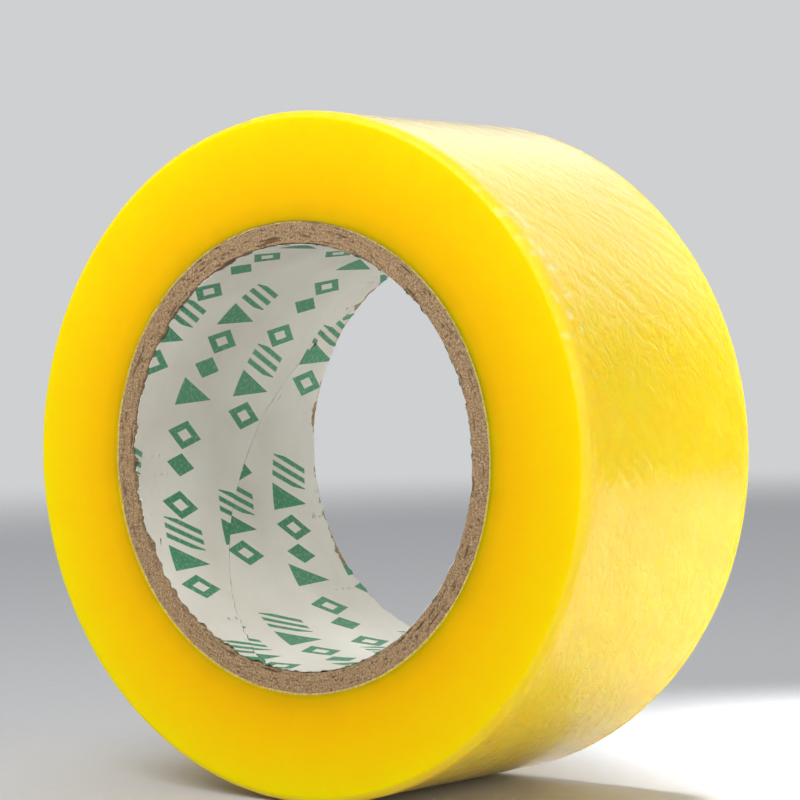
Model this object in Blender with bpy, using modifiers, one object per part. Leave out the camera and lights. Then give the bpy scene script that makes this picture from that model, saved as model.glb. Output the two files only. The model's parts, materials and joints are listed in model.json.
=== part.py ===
"""A roll of packing tape on a spiral-wound paper core, standing on its tread.

The roll's axis lies along Y and its centre is the origin. The front face looks towards -Y.
Every turned shape is drawn about its own Z, and the empty "roll_axis" lays that Z along -Y,
so an angle about the axis is counted from +X towards +Z.
"""

from math import ceil, cos, pi, radians, sin

import bpy

# Driving dimensions, in metres
CORE_BORE = 0.076
CORE_RECESS = 0.0002  # the core's ends stand this far back from the film's edges
LINER_THICKNESS = 0.0003
BOARD_PLY_THICKNESS = 0.0005
BOARD_PLIES = 6
OUTER_PLY_THICKNESS = 0.0002
GLUE_LINE = 0.0001  # between two glued plies

PLY_PITCH = 0.155  # how far a paper strip climbs in one turn of its helix
BUTT_GAP = 0.0004  # between the edges of one strip where its turns meet
LINER_SEAM = 196  # degrees about the axis where the liner's butt seam crosses mid-width
SEAM_STAGGER = 128  # degrees from one ply's seam to the next ply's

TAPE_WIDTH = 0.055
ROLL_DIAMETER = 0.124
TURN_THICKNESS = 0.0003  # a few turns of film, drawn as one solid
TURN_GAP = 0.0001  # between the drawn turns

LEADER_START = 100  # degrees about the axis: the line from which the free end peels
LEADER_SEGMENTS = 4
SEGMENT_SWEEP = 16  # degrees of the roll that one segment of the free end covers
END_GAP = 0.0003  # between the ends of two segments

FACET = 4  # degrees, so that a flat of the outer turn lies lowest
MERGE = 0.00001
TRIM_ALLOWANCE = 0.002  # how far a wound strip runs past the saw cut

# Sizes that follow from them
TURN_FACETS = 360 // FACET
CORE_LENGTH = TAPE_WIDTH - 2 * CORE_RECESS
BOARD_INNER = CORE_BORE / 2 + LINER_THICKNESS + GLUE_LINE
BOARD_STEP = BOARD_PLY_THICKNESS + GLUE_LINE
OUTER_PLY_INNER = BOARD_INNER + BOARD_PLIES * BOARD_STEP
CORE_RADIUS = OUTER_PLY_INNER + OUTER_PLY_THICKNESS
FIRST_TURN_INNER = CORE_RADIUS + TURN_GAP
WOUND_INNER = FIRST_TURN_INNER + TURN_THICKNESS + TURN_GAP
ROLL_RADIUS = ROLL_DIAMETER / 2
OUTER_TURN_INNER = ROLL_RADIUS - TURN_THICKNESS
WOUND_DEPTH = OUTER_TURN_INNER - TURN_GAP - WOUND_INNER
LEADER_TIP = LEADER_START + LEADER_SEGMENTS * SEGMENT_SWEEP


def empty_scene():
    for thing in list(bpy.data.objects):
        bpy.data.objects.remove(thing, do_unlink=True)


def new_collection(name):
    collection = bpy.data.collections.new(name)
    bpy.context.scene.collection.children.link(collection)
    return collection


def principled(name, colour, roughness, transmission=0.0):
    """A plain material: a linear colour, its roughness, and how much light it lets through."""
    material = bpy.data.materials.new(name)
    material.use_nodes = True
    shader = material.node_tree.nodes["Principled BSDF"]
    shader.inputs["Base Color"].default_value = (*colour, 1.0)
    shader.inputs["Roughness"].default_value = roughness
    shader.inputs["Metallic"].default_value = 0.0
    shader.inputs["Transmission Weight"].default_value = transmission
    return material


def profile_object(name, points, closed, collection, parent, material):
    """A profile in the XZ plane, drawn as a chain of edges, ready for a Screw modifier."""
    edges = [(i, i + 1) for i in range(len(points) - 1)]
    if closed:
        edges.append((len(points) - 1, 0))
    mesh = bpy.data.meshes.new(name)
    mesh.from_pydata([(x, 0.0, z) for x, z in points], edges, [])
    mesh.materials.append(material)
    thing = bpy.data.objects.new(name, mesh)
    collection.objects.link(thing)
    thing.parent = parent
    return thing


def screw(thing, sweep, steps, climb=0.0, closed=False):
    """Turn the profile through sweep degrees about Z, climbing along Z as it goes."""
    modifier = thing.modifiers.new("turn", "SCREW")
    modifier.axis = "Z"
    modifier.angle = radians(sweep)
    modifier.screw_offset = climb
    modifier.steps = steps
    modifier.render_steps = steps
    modifier.use_merge_vertices = closed
    modifier.merge_threshold = MERGE
    modifier.use_smooth_shade = True
    return modifier


def ring(name, inner, thickness, height, material, parts, axis):
    """A closed ring: its profile runs down the outer side and back up the inner one."""
    outer = inner + thickness
    half = height / 2
    corners = [(outer, half), (outer, -half), (inner, -half), (inner, half)]
    thing = profile_object(name, corners, True, parts, axis, material)
    screw(thing, 360, TURN_FACETS, closed=True)
    return thing


def arc_strip(name, inner, start, end, material, parts, parent):
    """A curved strip of film from one angle to another, closed at both ends."""
    line = [(inner, TAPE_WIDTH / 2), (inner, -TAPE_WIDTH / 2)]
    thing = profile_object(name, line, False, parts, parent, material)
    thing.rotation_euler.z = radians(start)
    screw(thing, end - start, max(1, round((end - start) / FACET)))
    solidify(thing, TURN_THICKNESS)
    return thing


def solidify(thing, thickness):
    """Give an open surface its wall, outwards from it."""
    modifier = thing.modifiers.new("wall", "SOLIDIFY")
    modifier.thickness = thickness
    modifier.offset = 1.0
    modifier.use_even_offset = True


def core_saw_cut(cutters, axis):
    """The block that a wound strip is trimmed to: everything between the core's two ends."""
    bpy.ops.mesh.primitive_cube_add(size=1.0)
    block = bpy.context.object
    block.name = "core_saw_cut"
    block.dimensions = (ROLL_DIAMETER, ROLL_DIAMETER, CORE_LENGTH)
    bpy.ops.object.transform_apply(location=False, rotation=False, scale=True)
    for collection in list(block.users_collection):
        collection.objects.unlink(block)
    cutters.objects.link(block)
    block.parent = axis
    block.hide_render = True
    block.display_type = "WIRE"
    return block


def spiral_ply(name, inner, thickness, seam, material, parts, axis, saw_cut):
    """A paper strip wound as a helix, edge to edge at a butt seam, and trimmed to the core's length."""
    strip = PLY_PITCH - BUTT_GAP
    low = -CORE_LENGTH / 2 - TRIM_ALLOWANCE
    # The strip has to climb past both of the core's ends all round
    needed = CORE_LENGTH + 2 * TRIM_ALLOWANCE + strip
    steps = ceil(needed / PLY_PITCH * TURN_FACETS)
    turns = steps / TURN_FACETS
    line = [(inner, low), (inner, low - strip)]
    thing = profile_object(name, line, False, parts, axis, material)
    # The strip's top edge starts below the core. Where it has climbed to mid-width, the seam
    # is there too, so the strip starts that many whole facets before the seam.
    climb_to_middle = -low / PLY_PITCH * 360
    thing.rotation_euler.z = radians(seam - FACET * round(climb_to_middle / FACET))
    screw(thing, 360 * turns, steps, climb=turns * PLY_PITCH)
    solidify(thing, thickness)
    trim = thing.modifiers.new("trim", "BOOLEAN")
    trim.operation = "INTERSECT"
    trim.solver = "EXACT"
    trim.object = saw_cut
    return thing


def build_core(parts, axis, saw_cut):
    """The paper tube: printed liner, board plies and a smooth outer ply."""
    white_paper = principled("white_paper", (0.80, 0.80, 0.76), 0.75)
    kraft_board = principled("kraft_board", (0.38, 0.26, 0.15), 0.90)
    cream_paper = principled("cream_paper", (0.78, 0.70, 0.52), 0.70)

    spiral_ply("core_liner", CORE_BORE / 2, LINER_THICKNESS, LINER_SEAM,
               white_paper, parts, axis, saw_cut)
    for index in range(BOARD_PLIES):
        spiral_ply(f"core_board_ply_{index + 1}", BOARD_INNER + index * BOARD_STEP,
                   BOARD_PLY_THICKNESS, LINER_SEAM + SEAM_STAGGER * (index + 1),
                   kraft_board, parts, axis, saw_cut)
    spiral_ply("core_outer_ply", OUTER_PLY_INNER, OUTER_PLY_THICKNESS,
               LINER_SEAM + SEAM_STAGGER * (BOARD_PLIES + 1),
               cream_paper, parts, axis, saw_cut)


def build_tape(parts, axis):
    """The wound strip: the turn stuck to the core, the wound body and the outer turn."""
    film = principled("yellow_film", (0.95, 0.62, 0.01), 0.18, transmission=0.3)
    ring("tape_first_turn", FIRST_TURN_INNER, TURN_THICKNESS, TAPE_WIDTH, film, parts, axis)
    ring("tape_windings", WOUND_INNER, WOUND_DEPTH, TAPE_WIDTH, film, parts, axis)

    clearance = END_GAP / ROLL_RADIUS * 180 / pi
    arc_strip("tape_outer_turn", OUTER_TURN_INNER, LEADER_TIP + clearance / 2,
              LEADER_START + 360 - clearance / 2, film, parts, axis)
    build_leader(film, clearance, parts, axis)


def build_leader(film, clearance, parts, axis):
    """The free end of the tape: segments that lie on the roll, each hinged on the one before."""
    carrier = axis
    carrier_place = (0.0, 0.0)
    for index in range(LEADER_SEGMENTS):
        start = LEADER_START + index * SEGMENT_SWEEP
        place = (ROLL_RADIUS * cos(radians(start)), ROLL_RADIUS * sin(radians(start)))
        hinge = bpy.data.objects.new(f"leader_hinge_{index + 1}", None)
        parts.objects.link(hinge)
        hinge.empty_display_size = TAPE_WIDTH / 2
        hinge.parent = carrier
        hinge.location = (place[0] - carrier_place[0], place[1] - carrier_place[1], 0.0)
        segment = arc_strip(f"tape_leader_{index + 1}", OUTER_TURN_INNER, start + clearance / 2,
                            start + SEGMENT_SWEEP - clearance / 2, film, parts, hinge)
        # The strip is turned about the roll's axis, so its own origin goes back there
        segment.location = (-place[0], -place[1], 0.0)
        carrier = hinge
        carrier_place = place


def build_roll():
    empty_scene()
    parts = new_collection("packing_tape_roll")
    cutters = new_collection("cutters")
    axis = bpy.data.objects.new("roll_axis", None)
    axis.rotation_euler.x = pi / 2
    axis.empty_display_size = ROLL_RADIUS
    parts.objects.link(axis)
    build_core(parts, axis, core_saw_cut(cutters, axis))
    build_tape(parts, axis)


build_roll()
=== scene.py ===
"""Looks of a roll of clear yellow packing tape: wound film, board core, printed liner, free end."""

import json
from math import atan2, cos, hypot, pi, radians, sin, sqrt

import bmesh
import bpy
from mathutils import Matrix, Vector, noise


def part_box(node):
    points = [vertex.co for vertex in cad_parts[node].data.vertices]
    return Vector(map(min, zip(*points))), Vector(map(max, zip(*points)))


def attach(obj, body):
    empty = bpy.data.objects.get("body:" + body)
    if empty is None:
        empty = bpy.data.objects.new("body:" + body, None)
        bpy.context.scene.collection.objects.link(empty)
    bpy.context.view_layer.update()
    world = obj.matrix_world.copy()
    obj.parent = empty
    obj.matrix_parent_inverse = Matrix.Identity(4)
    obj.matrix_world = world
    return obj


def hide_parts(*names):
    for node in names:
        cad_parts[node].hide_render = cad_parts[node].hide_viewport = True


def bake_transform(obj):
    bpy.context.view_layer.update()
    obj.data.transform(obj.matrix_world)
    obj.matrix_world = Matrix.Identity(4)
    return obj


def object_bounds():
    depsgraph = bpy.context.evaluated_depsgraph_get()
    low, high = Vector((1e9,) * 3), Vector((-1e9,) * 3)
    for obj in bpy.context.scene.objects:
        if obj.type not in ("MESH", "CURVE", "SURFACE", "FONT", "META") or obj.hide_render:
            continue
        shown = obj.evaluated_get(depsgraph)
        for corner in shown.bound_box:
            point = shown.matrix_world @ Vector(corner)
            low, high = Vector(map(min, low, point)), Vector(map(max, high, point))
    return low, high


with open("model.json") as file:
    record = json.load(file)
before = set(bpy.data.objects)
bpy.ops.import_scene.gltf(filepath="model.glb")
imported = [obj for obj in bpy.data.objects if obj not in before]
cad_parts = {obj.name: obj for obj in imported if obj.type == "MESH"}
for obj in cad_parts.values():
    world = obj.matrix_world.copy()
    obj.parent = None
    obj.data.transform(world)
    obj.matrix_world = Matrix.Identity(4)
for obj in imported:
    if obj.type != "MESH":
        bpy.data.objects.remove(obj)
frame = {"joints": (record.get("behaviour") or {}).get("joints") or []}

cad_low, cad_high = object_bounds()

MM = 0.001

# Sizes taken from the frame, in metres. The turned pieces here are finer than the frame's
# facets, so they use the distance to the facets' flats, which lie lowest and highest.
ROLL_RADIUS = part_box("tape_outer_turn")[1].z
HALF_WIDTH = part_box("tape_outer_turn")[1].y
OUTER_PLY_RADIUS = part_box("core_outer_ply")[1].z
BOARD_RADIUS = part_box("core_board_ply_6")[1].z
LINER_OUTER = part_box("core_liner")[1].z
CORE_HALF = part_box("core_liner")[1].y

# Sizes that the boxes don't give
BORE_RADIUS = LINER_OUTER - 0.27 * MM
PLY_PITCH = 155 * MM  # one turn of the paper's helix
LINER_SEAM = radians(196)  # where the liner's seam crosses mid-width
SEAM_HALF_GAP = 0.10 * MM
FILM = 0.13 * MM  # one film, drawn two to three times its real thickness
FILM_CLEAR = 0.02 * MM
RIM_ROUND = 1.8 * MM

STRAINED_AT = radians(32)  # where the tread is creased most

# Segments round the turned pieces
AROUND = 660
BOARD_AROUND = 720

# The liner's print, in mm
ROW_STEP = 16.5
FIRST_ROW = 51.3
CELL = 5.75  # the place of one mark
REPEAT = 79.6  # from group to group
ROW_SHIFT = 0.53  # the share of that by which each row is set on from the last
PRINT_START = 384.2
MARK_HALF_HEIGHT = 5.0
MARK_HALF_WIDTH = 2.8

# Where the hinges and the tip of the free end lie
PEEL_ANGLES = [atan2(j["pos_m"][2], j["pos_m"][0]) for j in frame["joints"]]
SEGMENT = PEEL_ANGLES[1] - PEEL_ANGLES[0]
PEEL_LINE = PEEL_ANGLES[0]
LEADER_TIP = PEEL_ANGLES[-1] + SEGMENT


# ---- Small tools -------------------------------------------------------------------------


def colour(hex_value):
    """A linear colour from an sRGB hex string."""
    parts = [int(hex_value[i:i + 2], 16) / 255 for i in (1, 3, 5)]
    linear = [c / 12.92 if c <= 0.04045 else ((c + 0.055) / 1.055) ** 2.4 for c in parts]
    return (*linear, 1.0)


def angle_of(point):
    """The angle about the roll's axis, from +X towards +Z."""
    return atan2(point.z, point.x)


def on_roll(radius, angle, y):
    """The point at this distance from the roll's axis, this angle about it and this y."""
    return Vector((radius * cos(angle), y, radius * sin(angle)))


def turn_after(angle, start):
    """How far angle lies past start, from 0 to a full turn."""
    return (angle - start) % (2 * pi)


def smooth(low, high, value):
    """0 up to low and 1 from high on, eased between. Low may be above high, to fall instead."""
    t = min(max((value - low) / (high - low), 0.0), 1.0)
    return t * t * (3 - 2 * t)


def wander(seed, angle, patch, other=0.0, other_patch=1.0):
    """Smooth noise from -1 to 1, its own for each seed. It changes from patch to patch: one patch
    is so many degrees of the turn, by so many mm the other way, across the width or outwards."""
    reach = 1 / radians(patch)
    place = Vector((cos(angle) * reach, other / other_patch, sin(angle) * reach))
    return noise.noise(place + seed * Vector((17.3, -9.1, 4.7)))


def add_cylinder(name, radius, length, around):
    """A capped cylinder along Y, its place in its mesh, left active."""
    bpy.ops.object.select_all(action="DESELECT")
    bpy.ops.mesh.primitive_cylinder_add(
        vertices=around, radius=radius, depth=length, end_fill_type="NGON", rotation=(pi / 2, 0, 0)
    )
    piece = bpy.context.object
    piece.name = name
    bpy.ops.object.transform_apply(location=True, rotation=True, scale=True)
    return piece


def add_grid(name, columns, rows):
    """A flat grid from -0.5 to 0.5 each way, left active."""
    bpy.ops.object.select_all(action="DESELECT")
    bpy.ops.mesh.primitive_grid_add(x_subdivisions=columns, y_subdivisions=rows, size=1.0)
    piece = bpy.context.object
    piece.name = name
    return piece


def select_in_edit(piece, mode, test):
    """Enter edit mode with just the vertices, edges or faces that pass the test selected."""
    bpy.ops.object.mode_set(mode="EDIT")
    bpy.ops.mesh.select_mode(type=mode)
    bpy.ops.mesh.select_all(action="DESELECT")
    mesh = bmesh.from_edit_mesh(piece.data)
    wanted = {"VERT": mesh.verts, "EDGE": mesh.edges, "FACE": mesh.faces}[mode]
    for element in wanted:
        if test(element):
            element.select_set(True)
    mesh.select_flush_mode()
    bmesh.update_edit_mesh(piece.data)


def object_mode():
    bpy.ops.object.mode_set(mode="OBJECT")


def is_cap(face):
    """Is the face the many-sided end of a cylinder, and not one of the quads of its wall?"""
    return abs(face.normal.y) > 0.999 and len(face.verts) > 4


def ring_edge(edge):
    """Does the edge run round the roll, at an end of the cylinder?"""
    a, b = edge.verts
    return abs(a.co.y - b.co.y) < 0.001 * MM


def along_edge(edge):
    """Does the edge run from side to side, along the roll's axis?"""
    a, b = edge.verts
    return abs(a.co.y - b.co.y) > HALF_WIDTH


def add_tube(name, outer, inner, length, around, rings, outer_cuts=0, inner_cuts=0, rounding=0.0):
    """A tube along Y. Its side faces are cut into rings and its two walls are cut across."""
    rounding_steps = 9
    piece = add_cylinder(name, outer, length, around)
    if rounding:
        select_in_edit(piece, "EDGE", ring_edge)
        bpy.ops.mesh.bevel(offset=rounding, segments=rounding_steps, profile=0.5)
        object_mode()
    select_in_edit(piece, "FACE", is_cap)
    step = (outer - rounding - inner) / rings
    for _ in range(rings):
        bpy.ops.mesh.inset(thickness=step, depth=0.0, use_even_offset=True)
    bpy.ops.mesh.bridge_edge_loops()
    object_mode()
    middle = (outer + inner) / 2

    def in_outer_wall(edge):
        return along_edge(edge) and hypot(edge.verts[0].co.x, edge.verts[0].co.z) > middle

    def in_inner_wall(edge):
        return along_edge(edge) and hypot(edge.verts[0].co.x, edge.verts[0].co.z) < middle

    for cuts, in_wall in ((outer_cuts, in_outer_wall), (inner_cuts, in_inner_wall)):
        if cuts:
            select_in_edit(piece, "EDGE", in_wall)
            bpy.ops.mesh.subdivide(number_cuts=cuts)
            object_mode()
    select_in_edit(piece, "FACE", lambda face: True)
    bpy.ops.mesh.normals_make_consistent(inside=False)
    object_mode()
    return piece


def move_points(piece, rule):
    """Move each point of the mesh to where the rule puts it."""
    for point in piece.data.vertices:
        point.co = rule(point.co)
    piece.data.update()


def store(piece, name, values):
    """Keep a number for each point of the mesh, for its material to read."""
    attribute = piece.data.attributes.new(name, "FLOAT", "POINT")
    attribute.data.foreach_set("value", values)


def apply_modifiers(piece):
    bpy.ops.object.select_all(action="DESELECT")
    piece.select_set(True)
    bpy.context.view_layer.objects.active = piece
    for modifier in list(piece.modifiers):
        bpy.ops.object.modifier_apply(modifier=modifier.name)


def thicken(piece, thickness, offset):
    """Give a sheet its wall, outwards from its faces at offset 1 and inwards at -1."""
    wall = piece.modifiers.new("wall", "SOLIDIFY")
    wall.thickness = thickness
    wall.offset = offset
    apply_modifiers(piece)


def shade(piece, angle=40):
    bpy.ops.object.select_all(action="DESELECT")
    piece.select_set(True)
    bpy.context.view_layer.objects.active = piece
    bpy.ops.object.shade_smooth_by_angle(angle=radians(angle))


def finish_piece(piece, material, slot, body, *nodes):
    """Give a piece its material, its body if it rides on one, and the CAD nodes it replaces. Its
    slot is not used.
    """
    piece.data.materials.clear()
    piece.data.materials.append(material)
    if body:
        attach(piece, body)
    if nodes:
        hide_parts(*nodes)


# ---- Materials ---------------------------------------------------------------------------


def new_material(name):
    """A material, its node tree and its shader."""
    material = bpy.data.materials.new(name)
    material.use_nodes = True
    tree = material.node_tree
    return material, tree, tree.nodes["Principled BSDF"]


def set_socket(tree, socket, value):
    """Give a socket a value, or the output of another node."""
    if isinstance(value, bpy.types.Node):
        value = next(output for output in value.outputs if output.enabled)
    if isinstance(value, bpy.types.NodeSocket):
        tree.links.new(value, socket)
    elif isinstance(value, str):
        socket.default_value = colour(value)
    else:
        socket.default_value = value


def add(tree, kind, inputs=(), stops=(), **settings):
    """Add a node with its settings, a ramp's (place, colour) stops, and its inputs in order."""
    node = tree.nodes.new("ShaderNode" + kind)
    for name, value in settings.items():
        setattr(node, name, value)
    for index, (place, hex_value) in enumerate(stops):
        elements = node.color_ramp.elements
        element = elements[index] if index < len(elements) else elements.new(place)
        element.position = place
        element.color = colour(hex_value)
    for socket, value in zip([s for s in node.inputs if s.enabled], inputs):
        set_socket(tree, socket, value)
    return node


def finish_shader(tree, shader, **values):
    """Set the shader's sockets, named with _ for each space."""
    for name, value in values.items():
        set_socket(tree, shader.inputs[name.replace("_", " ")], value)


def polar(tree, lean=0.0):
    """Where a point of the surface lies on the roll: its distance from the axis and its place
    across the width, both in mm, and its direction from the axis. A lean, in degrees for each mm
    of width, turns the direction, so that what is drawn with it runs aslant."""
    place = add(tree, "TexCoord").outputs["Object"]
    across = add(tree, "SeparateXYZ", [place]).outputs["Y"]
    if lean:
        turn = add(tree, "Math", [across, radians(lean) / MM], operation="MULTIPLY")
        place = add(tree, "VectorRotate", [place, (0, 0, 0), turn], rotation_type="Y_AXIS")
    flat = add(tree, "VectorMath", [place, (1, 0, 1)], operation="MULTIPLY")
    radius = add(tree, "VectorMath", [flat], operation="LENGTH").outputs["Value"]
    direction = add(tree, "VectorMath", [flat], operation="NORMALIZE")
    radius_mm = add(tree, "Math", [radius, 1 / MM], operation="MULTIPLY")
    across_mm = add(tree, "Math", [across, 1 / MM], operation="MULTIPLY")
    return radius_mm, across_mm, direction


def grain_place(tree, along, out, across, lean=0.0):
    """A place to read noise from, with no seam. For each mm it changes out times away from the
    axis, across times over the width, and out plus along times round the roll."""
    radius, width, direction = polar(tree, lean)
    typical_radius = 50.0  # mm, where along holds
    reach = add(tree, "Math", [radius, out, typical_radius * along], operation="MULTIPLY_ADD")
    ring = add(tree, "VectorMath", [direction, reach], operation="SCALE")
    side = add(tree, "Math", [width, across], operation="MULTIPLY")
    lift = add(tree, "CombineXYZ", [0.0, side, 0.0])
    return add(tree, "VectorMath", [ring, lift], operation="ADD")


def yellow_with_painted_shade_by_depth(tree):
    """The wound film's colour by depth: lemon near the tread, deeper amber towards the core. The
    amber is partly the board seen through the film and partly painted shade, for light lost deep in
    the turns.
    """
    radius, _, _ = polar(tree)
    depth = add(tree, "MapRange", [radius, OUTER_PLY_RADIUS / MM, ROLL_RADIUS / MM, 0.0, 1.0])
    # Painted shade: the ramp darkens the film towards the core, where less light reaches.
    tint = add(tree, "ValToRGB", [depth], stops=[
        (0.0, "#D09A00"), (0.05, "#E3AA00"), (0.20, "#F3BB00"), (0.50, "#FDC900"),
        (0.85, "#FFD600"), (1.0, "#FFDA00")])
    cloud = add(tree, "TexNoise", [grain_place(tree, 0.06, 0.06, 0.06), 1.0, 2.0, 0.5])
    share = add(tree, "MapRange", [cloud, 0.35, 0.75, 0.0, 0.25])
    return add(tree, "Mix", [share, tint, "#FFC400"], data_type="RGBA")


def cut_film_material():
    """Wound polypropylene film seen on its slit edges. Light sinks in and spreads, so the face
    looks like amber jelly, satin and with hardly any mirror in it."""
    material, tree, shader = new_material("slit_film_edges")
    # The slitter's marks on turns of 0.05 mm, drawn some twenty times coarser so that they show
    slit = add(tree, "TexNoise", [grain_place(tree, 0.004, 0.9, 0.0), 1.0, 3.0, 0.6])
    soft = add(tree, "TexNoise", [grain_place(tree, 0.25, 0.25, 0.25), 1.0, 2.0, 0.5])
    height = add(tree, "Mix", [0.35, slit, soft], data_type="FLOAT")
    strength, depth = 0.25, 0.05 * MM
    bump = add(tree, "Bump", [strength, depth])
    set_socket(tree, bump.inputs["Height"], height)
    finish_shader(
        tree, shader, Base_Color=yellow_with_painted_shade_by_depth(tree), Roughness=0.36, IOR=1.50,
        Specular_IOR_Level=0.05, Subsurface_Weight=1.0, Subsurface_Radius=(1.0, 0.55, 0.05),
        Subsurface_Scale=6.0 * MM, Normal=bump)
    return material


def tread_film_material():
    """The outer turn of the same film: glossy, drawn tight over trapped air and adhesive, so it
    has a fine slanting crinkle and a pale mottle. Towards each rim the edges of the turns below
    blur its gloss, and nicks in the edge are whitened."""
    material, tree, shader = new_material("glossy_outer_film")
    slant = grain_place(tree, 0.26, 0.0, 0.14, lean=-0.8)
    mottle = add(tree, "TexNoise", [slant, 1.0, 5.0, 0.62])
    pale = add(tree, "MapRange", [mottle, 0.42, 0.72, 0.0, 0.40])
    tint = add(tree, "Mix", [pale, "#FFD300", "#FFDF40"], data_type="RGBA")
    nick = add(tree, "Attribute", attribute_name="nick").outputs["Fac"]
    whitened = add(tree, "Math", [nick, 0.55], operation="MULTIPLY")
    tint = add(tree, "Mix", [whitened, tint, "#FFF0A8"], data_type="RGBA")
    _, across, _ = polar(tree)
    off_middle = add(tree, "Math", [across], operation="ABSOLUTE")
    blur_from, blur_to = HALF_WIDTH / MM - 4.5, HALF_WIDTH / MM - 0.5
    glossy, satin = 0.07, 0.60
    gloss_loss = add(tree, "MapRange", [off_middle, blur_from, blur_to, glossy, satin])
    crinkle = add(tree, "TexNoise", [grain_place(tree, 0.34, 0.0, 0.13, lean=-0.8), 1.0, 4.0, 0.5])
    pucker = add(tree, "TexNoise", [grain_place(tree, 0.27, 0.0, 0.27), 1.0, 4.0, 0.5])
    set_socket(tree, pucker.inputs["Distortion"], 1.4)
    height = add(tree, "Mix", [0.7, crinkle, pucker], data_type="FLOAT")
    strength, depth = 1.0, 0.28 * MM
    bump = add(tree, "Bump", [strength, depth])
    set_socket(tree, bump.inputs["Height"], height)
    finish_shader(
        tree, shader, Base_Color=tint, Roughness=gloss_loss, IOR=1.50,
        Subsurface_Weight=1.0, Subsurface_Radius=(1.0, 0.55, 0.05),
        Subsurface_Scale=6.0 * MM, Normal=bump)
    return material


def loose_film_material():
    """A single free film with its glue: clear, faintly yellow and glossy."""
    material, tree, shader = new_material("single_clear_film")
    cloud = add(tree, "TexNoise", [grain_place(tree, 0.25, 0.25, 0.25), 1.0, 4.0, 0.5])
    share = add(tree, "MapRange", [cloud, 0.35, 0.7, 0.0, 1.0])
    tint = add(tree, "Mix", [share, "#FFD800", "#FFE430"], data_type="RGBA")
    peel = add(tree, "TexNoise", [grain_place(tree, 0.6, 0.0, 0.6), 1.0, 4.0, 0.5])
    strength, depth = 0.3, 0.05 * MM
    bump = add(tree, "Bump", [strength, depth])
    set_socket(tree, bump.inputs["Height"], peel)
    finish_shader(tree, shader, Base_Color=tint, Roughness=0.16, IOR=1.50, Alpha=0.36, Normal=bump)
    return material


def kraft_board_material():
    """Recycled kraft board, sawn across: matt brown fibres, with the pits between the plies
    darkened by painted shade.
    """
    material, tree, shader = new_material("sawn_kraft_board")
    fibre = add(tree, "TexNoise", [grain_place(tree, 0.7, 2.6, 1.5), 1.0, 6.0, 0.75])
    body = add(tree, "ValToRGB", [fibre], stops=[
        (0.33, "#58442F"), (0.45, "#866B4D"), (0.55, "#AA8F6E"), (0.68, "#D0BA99")])
    patch = add(tree, "TexNoise", [grain_place(tree, 0.25, 0.25, 0.25), 1.0, 3.0, 0.5])
    share = add(tree, "MapRange", [patch, 0.4, 0.7, 0.0, 0.35])
    body = add(tree, "Mix", [share, body, "#A98B68"], data_type="RGBA")
    pit_and_shade = add(tree, "Attribute", attribute_name="pit_and_shade").outputs["Fac"]
    # Painted shade: the colour darkens in the saw's pits and tears, as deep as they sink.
    body = add(tree, "Mix", [pit_and_shade, body, "#66503A"], data_type="RGBA")
    strength, depth = 0.6, 0.12 * MM
    bump = add(tree, "Bump", [strength, depth])
    set_socket(tree, bump.inputs["Height"], fibre)
    finish_shader(tree, shader, Base_Color=body, Roughness=0.92, IOR=1.45, Specular_IOR_Level=0.2,
                  Normal=bump)
    return material


def cream_paper_material():
    """The core's smooth outer paper, seen only as its pale cut edge."""
    material, tree, shader = new_material("cream_ply_paper")
    mottle = add(tree, "TexNoise", [grain_place(tree, 0.8, 0.8, 0.8), 1.0, 4.0, 0.5])
    body = add(tree, "ValToRGB", [mottle], stops=[(0.35, "#AD9152"), (0.65, "#D2BC84")])
    finish_shader(tree, shader, Base_Color=body, Roughness=0.8)
    return material


def liner_material():
    """White paper with slanting rows of plain green marks, printed a little unevenly."""
    material, tree, shader = new_material("printed_white_paper")
    sheet = add(tree, "UVMap", uv_map="UVMap")
    marks = printed_marks(tree, sheet)
    grain = add(tree, "TexNoise", [sheet, 1.3, 5.0, 0.6])
    patchy = add(tree, "MapRange", [grain, 0.20, 0.50, 0.6, 0.97])
    ink = add(tree, "Math", [marks, patchy], operation="MULTIPLY")
    soil = add(tree, "TexNoise", [sheet, 0.05, 4.0, 0.5])
    paper = add(tree, "ValToRGB", [soil], stops=[(0.3, "#CEC8BB"), (0.7, "#E0DCD2")])
    fleck = add(tree, "MapRange", [grain, 0.5, 0.8, 0.0, 0.25])
    paper = add(tree, "Mix", [fleck, paper, "#C9C5BA"], data_type="RGBA")
    body = add(tree, "Mix", [ink, paper, "#237D53"], data_type="RGBA")
    strength, depth = 0.25, 0.05 * MM
    bump = add(tree, "Bump", [strength, depth])
    set_socket(tree, bump.inputs["Height"], grain)
    finish_shader(tree, shader, Base_Color=body, Roughness=0.62, IOR=1.45, Normal=bump)
    return material


def ink_up_to(tree, reach, limit):
    """Ink that stops where reach passes limit, with the soft edge of ink soaked into paper."""
    soak = 0.12
    return add(tree, "MapRange", [reach, limit - soak, limit + soak, 1.0, 0.0])


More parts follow.
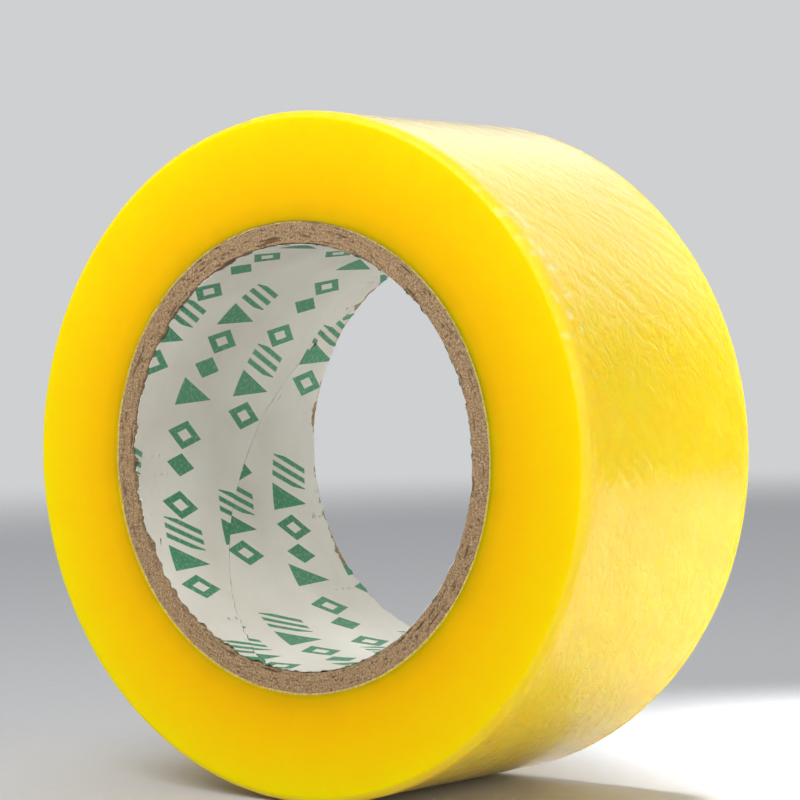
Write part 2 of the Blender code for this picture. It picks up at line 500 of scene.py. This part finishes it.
def printed_marks(tree, sheet):
    """1 where the print is and 0 elsewhere: rows of triangles, diamonds and slanting bars in
    groups of four, two and five. The sheet's coordinates are mm round the bore and across it."""
    rows_each_turn = 3
    tilt = atan2(rows_each_turn * ROW_STEP, 2 * pi * BORE_RADIUS / MM)
    pitch = ROW_STEP * cos(tilt)
    turned = add(tree, "VectorRotate", [sheet, (0, 0, 0), tilt], rotation_type="Z_AXIS")
    along, across, _ = add(tree, "SeparateXYZ", [turned]).outputs

    # The row, and how high the point is in it from the row's middle
    rows_up = add(tree, "Math", [across, 1 / pitch, -FIRST_ROW / pitch], operation="MULTIPLY_ADD")
    row = add(tree, "Math", [rows_up], operation="FLOOR")
    row_share = add(tree, "Math", [rows_up], operation="FRACT")
    high = add(tree, "Math", [row_share, pitch, -pitch / 2], operation="MULTIPLY_ADD")

    # How far the point is past the start of its group, less two narrow gaps that part the marks
    repeats = add(tree, "Math", [along, -1 / REPEAT, PRINT_START / REPEAT],
                  operation="MULTIPLY_ADD")
    repeats = add(tree, "Math", [row, ROW_SHIFT, repeats], operation="MULTIPLY_ADD")
    group_share = add(tree, "Math", [repeats], operation="FRACT")
    run = add(tree, "Math", [group_share, REPEAT], operation="MULTIPLY")
    gap = 2.0
    first_end, second_end = 4 * CELL, 6 * CELL + gap
    first_gap = add(tree, "MapRange", [run, first_end, first_end + gap, 0.0, gap])
    second_gap = add(tree, "MapRange", [run, second_end, second_end + gap, 0.0, gap])
    gaps = add(tree, "Math", [first_gap, second_gap], operation="ADD")
    run = add(tree, "Math", [run, gaps], operation="SUBTRACT")

    # The mark's cell, and how far the point is along it from the cell's middle
    cells_on = add(tree, "Math", [run, 1 / CELL], operation="MULTIPLY")
    cell = add(tree, "Math", [cells_on], operation="FLOOR")
    cell_share = add(tree, "Math", [cells_on], operation="FRACT")
    wide = add(tree, "Math", [cell_share, CELL, -CELL / 2], operation="MULTIPLY_ADD")
    tall = add(tree, "Math", [high], operation="ABSOLUTE")
    thick = add(tree, "Math", [wide], operation="ABSOLUTE")
    level = ink_up_to(tree, tall, MARK_HALF_HEIGHT)

    # A diamond, whole and with a hole
    smaller, wall = 1.0, 2.8
    steep = MARK_HALF_HEIGHT / MARK_HALF_WIDTH
    diamond_reach = add(tree, "Math", [thick, steep, tall], operation="MULTIPLY_ADD")
    diamond = ink_up_to(tree, diamond_reach, MARK_HALF_HEIGHT - smaller)
    outline = ink_up_to(tree, diamond_reach, MARK_HALF_HEIGHT)
    hole = ink_up_to(tree, diamond_reach, MARK_HALF_HEIGHT - wall)
    ring = add(tree, "Math", [outline, hole], operation="SUBTRACT")

    # A triangle that narrows upwards
    point_reach = add(tree, "Math", [thick, 2 * steep, high], operation="MULTIPLY_ADD")
    narrowing = ink_up_to(tree, point_reach, MARK_HALF_HEIGHT)
    triangle = add(tree, "Math", [narrowing, level], operation="MULTIPLY")

    # Three slanting bars
    lean, half_spacing, bar_half_width, block_half_width = 0.22, 1.0, 0.52, 2.7
    slanted = add(tree, "Math", [high, lean, wide], operation="MULTIPLY_ADD")
    off_bar = add(tree, "Math", [slanted, half_spacing], operation="PINGPONG")
    bar = ink_up_to(tree, off_bar, bar_half_width)
    off_middle = add(tree, "Math", [slanted], operation="ABSOLUTE")
    block = ink_up_to(tree, off_middle, block_half_width)
    bars = add(tree, "Math", [bar, block], operation="MULTIPLY")
    shape = add(tree, "Math", [bars, level], operation="MULTIPLY")

    # Each cell's share of the golden cut picks its mark, in an order that seldom repeats
    golden_cut, first_pick = 0.382, 0.1
    pick = add(tree, "Math", [cell, golden_cut, first_pick], operation="MULTIPLY_ADD")
    pick = add(tree, "Math", [pick], operation="FRACT")
    for limit, other in ((0.78, diamond), (0.62, triangle), (0.34, ring)):
        chosen = add(tree, "Math", [pick, limit], operation="LESS_THAN")
        shape = add(tree, "Mix", [chosen, shape, other], data_type="FLOAT")

    # Bare past the eleventh mark, and in the gaps, where thick stays at half a cell
    in_group = add(tree, "Math", [run, 11 * CELL], operation="LESS_THAN")
    in_cell = add(tree, "Math", [thick, 0.49 * CELL], operation="LESS_THAN")
    printed = add(tree, "Math", [in_group, in_cell], operation="MULTIPLY")
    return add(tree, "Math", [shape, printed], operation="MULTIPLY")


# ---- The wound tape ----------------------------------------------------------------------


def film_start(angle):
    """How far in the tread lies at this angle: the strip spirals in by one film from the peel
    line back round to the tip, and stays there under the free end."""
    past = turn_after(angle, LEADER_TIP)
    wound = 2 * pi - (LEADER_TIP - PEEL_LINE)
    if past > wound:
        return FILM + FILM_CLEAR
    return (FILM + FILM_CLEAR) * (1 - past / wound)


def strained(angle):
    """1 in the stretch of the tread where most of the creases are, falling to 0 past it."""
    return smooth(radians(26), radians(3), abs(angle - STRAINED_AT))


def rim_nick(angle, side):
    """1 in the small nicks that the near edge of the outer turn has in that stretch, else 0."""
    spot = wander(6, angle, 2.2, side, 2.0)
    return smooth(0.16, 0.40, spot) * smooth(-19.0, -23.0, side) * strained(angle)


def tread_ripple(angle, y):
    """How far the outer turn sinks: a slow swell, puckers, nicks, and creases that run aslant."""
    swell_depth, pucker_depth, crease_depth, nick_depth = 0.06, 0.05, 0.09, 0.15
    crease_lean = radians(0.8)  # for each mm of width
    side = y / MM
    swell = wander(1, angle, 18.0, side, 14.0)
    bent = side + 2.5 * wander(2, angle, 9.0, side, 10.0)
    pucker = wander(3, angle, 3.6, bent, 3.8)
    ridge = abs(wander(4, angle + crease_lean * bent, 2.6, side, 16.0))
    creased = smooth(0.1, 0.5, wander(5, angle, 23.0, side, 25.0))
    crease = smooth(0.22, 0.0, ridge) * max(0.15, creased, strained(angle))
    sink = swell_depth * (1 - swell) + pucker_depth * (1 - pucker) + crease_depth * crease
    return (sink + nick_depth * rim_nick(angle, side)) * MM


def uneven_side(radius, angle, front):
    """How far the side face sinks, as the turns don't lie dead level: low rings and broad dips."""
    ring_depth, dip_depth = 0.022, 0.05
    ring = wander(7 + front, angle, 300.0, radius / MM, 0.5)
    dip = wander(9 + front, angle, 57.0, radius / MM, 4.0)
    return (ring_depth * (1 - ring) + dip_depth * (1 - dip)) * MM


def wound_tape():
    """The wound strip with its outer turn, as one block with a bore."""
    clear = 0.12 * MM  # of the core's paper
    piece = add_tube("wound_tape", ROLL_RADIUS, OUTER_PLY_RADIUS + clear, 2 * HALF_WIDTH,
                     AROUND, rings=18, outer_cuts=80, rounding=RIM_ROUND)
    touch = 0.02 * MM
    rim_from = ROLL_RADIUS - RIM_ROUND - touch

    def shaped(co):
        radius, angle, y = hypot(co.x, co.z), angle_of(co), co.y
        if abs(y) > HALF_WIDTH - touch:
            sink = uneven_side(radius, angle, y < 0)
            y += sink if y < 0 else -sink
        if radius > rim_from:
            share = smooth(rim_from, ROLL_RADIUS, radius)
            radius -= (film_start(angle) + tread_ripple(angle, co.y)) * share
        return on_roll(radius, angle, y)

    move_points(piece, shaped)
    shade(piece)
    finish_piece(piece, cut_film_material(), "yellow_film", "roll",
                 "tape_windings", "tape_outer_turn", "tape_first_turn")
    # The outer turn's film covers the tread and most of the rounding down to the side faces
    piece.data.materials.append(tread_film_material())
    for face in piece.data.polygons:
        face.material_index = int(abs(face.normal.y) < 0.93)
    nicks = [rim_nick(angle_of(point.co), point.co.y / MM) for point in piece.data.vertices]
    store(piece, "nick", nicks)


# ---- The free end ------------------------------------------------------------------------


def film_piece(name, start, end, columns, toothed):
    """A curved piece of free film between two angles. The last one ends in a toothed cut."""
    piece = add_grid(name, columns, rows=84)
    tooth, bite = 1.6 * MM, radians(0.9)

    def shaped(co):
        share, y = co.x + 0.5, 2 * co.y * (HALF_WIDTH - RIM_ROUND / 2)
        last = end
        if toothed:
            phase = abs(((y / tooth) % 1.0) - 0.5) * 2
            last = end - bite * phase
        angle = start + (last - start) * share
        over_rim = max(0.0, abs(y) - (HALF_WIDTH - RIM_ROUND))
        drop = RIM_ROUND - sqrt(RIM_ROUND ** 2 - over_rim ** 2)
        return on_roll(ROLL_RADIUS - FILM - drop - tread_ripple(angle, y), angle, y)

    move_points(piece, shaped)
    return piece


def free_end():
    """The strip's free end, in curved pieces that each span one hinge and meet in mid-segment."""
    material = loose_film_material()
    middles = [PEEL_LINE] + [a + SEGMENT / 2 for a in PEEL_ANGLES[:-1]] + [LEADER_TIP]
    for index, hinge in enumerate(PEEL_ANGLES):
        start, end = middles[index], middles[index + 1]
        last = index == len(PEEL_ANGLES) - 1
        columns = 36 if last else 24
        piece = film_piece(f"free_film_{index + 1}", start, end, columns, toothed=last)
        thicken(piece, FILM, 1.0)
        shade(piece)
        finish_piece(piece, material, "yellow_film", None, f"tape_leader_{index + 1}")
        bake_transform(piece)


# ---- The core ----------------------------------------------------------------------------


def ply_groove(radius):
    """0 inside a ply and 1 at the glue line between two plies."""
    ply = 0.6 * MM
    place = (radius - LINER_OUTER) / ply
    return smooth(0.30, 0.5, abs(place - round(place + 0.5) + 0.5))


def board_pit(radius, angle, front):
    """How deep the saw has torn the board's end here, from 0 to 1: long tears between the plies,
    mostly next to the bore, and small flecks. The same share darkens the board's colour there, as
    painted shade."""
    out = radius / MM
    near_bore = smooth(1.6, 0.2, (radius - LINER_OUTER) / MM)
    rough_area = 0.2 * wander(14 + front, angle, 14.0, out, 2.5)
    tear = wander(10 + front, angle, 4.8, out, 0.75) + rough_area
    fleck = wander(12 + front, angle, 0.95, out, 0.45) + rough_area
    tear += 0.25 * near_bore + 0.15 * ply_groove(radius)
    return max(0.8 * smooth(0.46, 0.85, tear), 0.7 * smooth(0.30, 0.62, fleck))


def board_core():
    """The six board plies, wound and glued into one sawn tube."""
    clear = 0.05 * MM
    pit_depth, fuzz_depth, groove_depth, worn_edge = 0.38, 0.06, 0.06, 0.18
    outer, inner = BOARD_RADIUS + clear, LINER_OUTER + clear
    piece = add_tube("board_core", outer, inner, 2 * CORE_HALF, BOARD_AROUND, rings=26,
                     inner_cuts=12)
    pits_and_shade = []

    def shaped(co):
        radius, angle, y = hypot(co.x, co.z), angle_of(co), co.y
        pit_and_shade = 0.0
        if abs(y) > CORE_HALF - 0.01 * MM:
            front = y < 0
            pit_and_shade = board_pit(radius, angle, front)
            fuzz = 1 - wander(16 + front, angle, 0.95, radius / MM, 0.33)
            sink = pit_depth * pit_and_shade + fuzz_depth * fuzz + groove_depth * ply_groove(radius)
            y += sink * MM if front else -sink * MM
            worn = worn_edge * max(0.0, wander(18 + front, angle, 1.9))
            radius += worn * MM * smooth(inner + 0.5 * MM, inner, radius)
        pits_and_shade.append(pit_and_shade)
        return on_roll(radius, angle, y)

    move_points(piece, shaped)
    # The pits' share is kept for the material, which paints shade into them.
    store(piece, "pit_and_shade", pits_and_shade)
    shade(piece, 60)
    finish_piece(piece, kraft_board_material(), "kraft_board", "roll",
                 *[f"core_board_ply_{n}" for n in range(1, 7)])


def outer_ply():
    """The pale paper round the board, its cut edge a thin uneven line."""
    fine_fray, long_fray, wobble = 0.25, 0.8, 0.05
    piece = add_tube("outer_ply", OUTER_PLY_RADIUS + 0.08 * MM, BOARD_RADIUS + 0.06 * MM,
                     2 * CORE_HALF, BOARD_AROUND, rings=2)

    def shaped(co):
        radius, angle, y = hypot(co.x, co.z), angle_of(co), co.y
        front = y < 0
        frayed = fine_fray * max(0.0, wander(20 + front, angle, 2.4))
        frayed += long_fray * max(0.0, wander(22 + front, angle, 8.2) - 0.25)
        y += frayed * MM if front else -frayed * MM
        radius += wobble * MM * wander(24 + front, angle, 5.7)
        return on_roll(radius, angle, y)

    move_points(piece, shaped)
    shade(piece, 60)
    finish_piece(piece, cream_paper_material(), "cream_paper", "roll", "core_outer_ply")


def liner_edge(angle, front):
    """How far the liner's edge is torn back from the core's end."""
    torn = 1.5 * abs(wander(30 + front, angle, 4.8)) + 1.2 * abs(wander(32 + front, angle, 1.6))
    bite = 1.1 * smooth(0.15, 0.5, wander(34 + front, angle, 13.6))
    return (torn + bite) * MM


def printed_liner():
    """The printed paper strip of the bore, one turn of a helix between two butt edges."""
    piece = add_grid("printed_liner", columns=480, rows=72)
    gap = SEAM_HALF_GAP / BORE_RADIUS
    paper, off_board, cockle_depth, lift_height = 0.16, 0.05, 0.018, 0.05

    def placed(co):
        seam = LINER_SEAM - 2 * co.y * CORE_HALF / PLY_PITCH * 2 * pi
        share = co.x + 0.5
        angle = seam + gap + share * (2 * pi - 2 * gap)
        y = 2 * co.y * (CORE_HALF - liner_edge(angle, co.y < 0))
        return angle, y, min(share, 1 - share) * 2 * pi * BORE_RADIUS / MM

    sheet = [placed(point.co) for point in piece.data.vertices]
    layer = piece.data.uv_layers["UVMap"]
    for loop in piece.data.loops:
        angle, y, _ = sheet[loop.vertex_index]
        layer.data[loop.index].uv = (angle * BORE_RADIUS / MM, y / MM)
    for point, (angle, y, from_seam) in zip(piece.data.vertices, sheet):
        cockle = cockle_depth * (1 - wander(40, angle, 11.5, y / MM, 17.0))
        lift = lift_height * smooth(2.5, 0.0, from_seam)
        lift *= 0.6 + 0.4 * wander(41, angle, 2.9, y / MM, 5.0)
        point.co = on_roll(BORE_RADIUS + (off_board - cockle - lift) * MM, angle, y)
    piece.data.update()
    thicken(piece, paper * MM, liner_offset(piece))
    shade(piece, 50)
    finish_piece(piece, liner_material(), "white_paper", "roll", "core_liner")


def liner_offset(piece):
    """Solidify's offset that thickens the sheet away from the axis, whichever way it faces."""
    face = piece.data.polygons[0]
    outward = face.normal.dot(Vector((face.center.x, 0.0, face.center.z)))
    return 1.0 if outward > 0 else -1.0


# ---- The studio --------------------------------------------------------------------------

POOL_AZIMUTH = 51.5  # where the lit part of the table lies, as the tread mirrors it

def studio():
    """A pale round table that fades into the backdrop's colour."""
    bpy.ops.object.select_all(action="DESELECT")
    bpy.ops.mesh.primitive_circle_add(vertices=96, radius=2.0, fill_type="NGON",
                                      location=(0, 0, cad_low.z))
    table = bpy.context.object
    table.name = "studio_table"
    fade_from, fade_to = 0.74, 1.15
    material, tree, shader = new_material("matt_studio_table")
    place = add(tree, "TexCoord").outputs["Object"]
    middle = direction(POOL_AZIMUTH, 0) * 0.47
    reach = add(tree, "VectorMath", [place, middle], operation="DISTANCE").outputs["Value"]
    solid = add(tree, "MapRange", [reach, fade_from, fade_to, 1.0, 0.0],
                interpolation_type="SMOOTHSTEP")
    grain = add(tree, "TexNoise", [place, 300.0, 2.0, 0.5])
    body = add(tree, "ValToRGB", [grain], stops=[(0.0, "#BDBEC0"), (1.0, "#C4C5C7")])
    finish_shader(tree, shader, Base_Color=body, Roughness=0.9, Specular_IOR_Level=0.1, Alpha=solid)
    table.data.materials.append(material)


def direction(azimuth, elevation):
    """A direction from the roll, azimuth in degrees from +X towards +Y."""
    a, e = radians(azimuth), radians(elevation)
    return Vector((cos(a) * cos(e), sin(a) * cos(e), sin(e)))


def softbox(name, azimuth, elevation, distance, width, height, brightness):
    """A soft rectangular light that faces the roll, so many times as bright as white paper."""
    place = direction(azimuth, elevation) * distance
    light = bpy.data.lights.new(name, "AREA")
    light.shape = "RECTANGLE"
    light.size = width
    light.size_y = height
    light.energy = brightness * pi * width * height
    lamp = bpy.data.objects.new(name, light)
    bpy.context.scene.collection.objects.link(lamp)
    lamp.location = place
    lamp.rotation_mode = "QUATERNION"
    lamp.rotation_quaternion = (-place).to_track_quat("-Z", "Y")
    return lamp


def backdrop():
    """Pale grey all round and darker overhead, with two wide glows high up behind the roll and a
    dim place low down behind on the right."""
    world = bpy.data.worlds.new("studio")
    bpy.context.scene.world = world
    world.use_nodes = True
    tree = world.node_tree
    place = add(tree, "TexCoord").outputs["Generated"]
    height = add(tree, "SeparateXYZ", [place]).outputs["Z"]
    overhead = 0.25
    light = add(tree, "MapRange", [height, 0.2, 0.8, 1.0, overhead],
                interpolation_type="SMOOTHSTEP")
    for azimuth, elevation, edge, core, extra in (
            (96, 45, 44, 8, 2.0), (128, 36, 27, 6, 0.7), (58, 3, 32, 12, -0.55)):
        near = add(tree, "VectorMath", [place, direction(azimuth, elevation)],
                   operation="DOT_PRODUCT").outputs["Value"]
        share = add(tree, "MapRange", [near, cos(radians(edge)), cos(radians(core)), 0.0, 1.0],
                    interpolation_type="SMOOTHSTEP")
        light = add(tree, "Math", [share, extra, light], operation="MULTIPLY_ADD")
    background = tree.nodes["Background"]
    set_socket(tree, background.inputs["Color"], "#CFD0D2")
    set_socket(tree, background.inputs["Strength"], light)


def lights():
    """A high front softbox, one from the right, and one that lights the table at the back."""
    softbox("front_softbox", azimuth=-93, elevation=46, distance=0.57, width=0.38, height=0.38,
            brightness=5.8)
    softbox("right_softbox", azimuth=-5, elevation=13, distance=1.2, width=0.6, height=0.6,
            brightness=3.6)
    near_end, far_end, above, aside = 0.08, 0.56, 0.32, 0.025
    pool = softbox("table_softbox", POOL_AZIMUTH, elevation=30, distance=0.7,
                   width=far_end - near_end, height=0.20, brightness=5.6)
    middle = direction(POOL_AZIMUTH, 0) * (near_end + far_end) / 2
    pool.location = middle - direction(POOL_AZIMUTH + 90, 0) * aside + Vector((0, 0, above))
    pool.rotation_quaternion = Matrix.Rotation(radians(POOL_AZIMUTH), 3, "Z").to_quaternion()
    pool.data.spread = radians(22)


CAMERA_AZIMUTH = radians(36.32)
CAMERA_ELEVATION = radians(1.50)


def camera():
    """The camera stands to the right of the front face, a little above the roll's centre."""
    distance, right_shift, up_shift = 577.7 * MM, 2.46 * MM, 9.79 * MM
    lens, sensor_width = 140.3, 36.0  # mm
    a, e = CAMERA_AZIMUTH, CAMERA_ELEVATION
    back = Vector((sin(a) * cos(e), -cos(a) * cos(e), sin(e)))
    right = Vector((0, 0, 1)).cross(back).normalized()
    up = back.cross(right)
    data = bpy.data.cameras.new("camera")
    data.lens = lens
    data.sensor_width = sensor_width
    data.clip_start, data.clip_end = 0.01, 20.0
    thing = bpy.data.objects.new("camera", data)
    bpy.context.scene.collection.objects.link(thing)
    thing.location = back * distance + right * right_shift + up * up_shift
    thing.rotation_mode = "QUATERNION"
    thing.rotation_quaternion = Matrix((right, up, back)).transposed().to_quaternion()
    bpy.context.scene.camera = thing


camera()
backdrop()
lights()
studio()
wound_tape()
free_end()
board_core()
outer_ply()
printed_liner()
bpy.context.scene.view_settings.view_transform = "Standard"
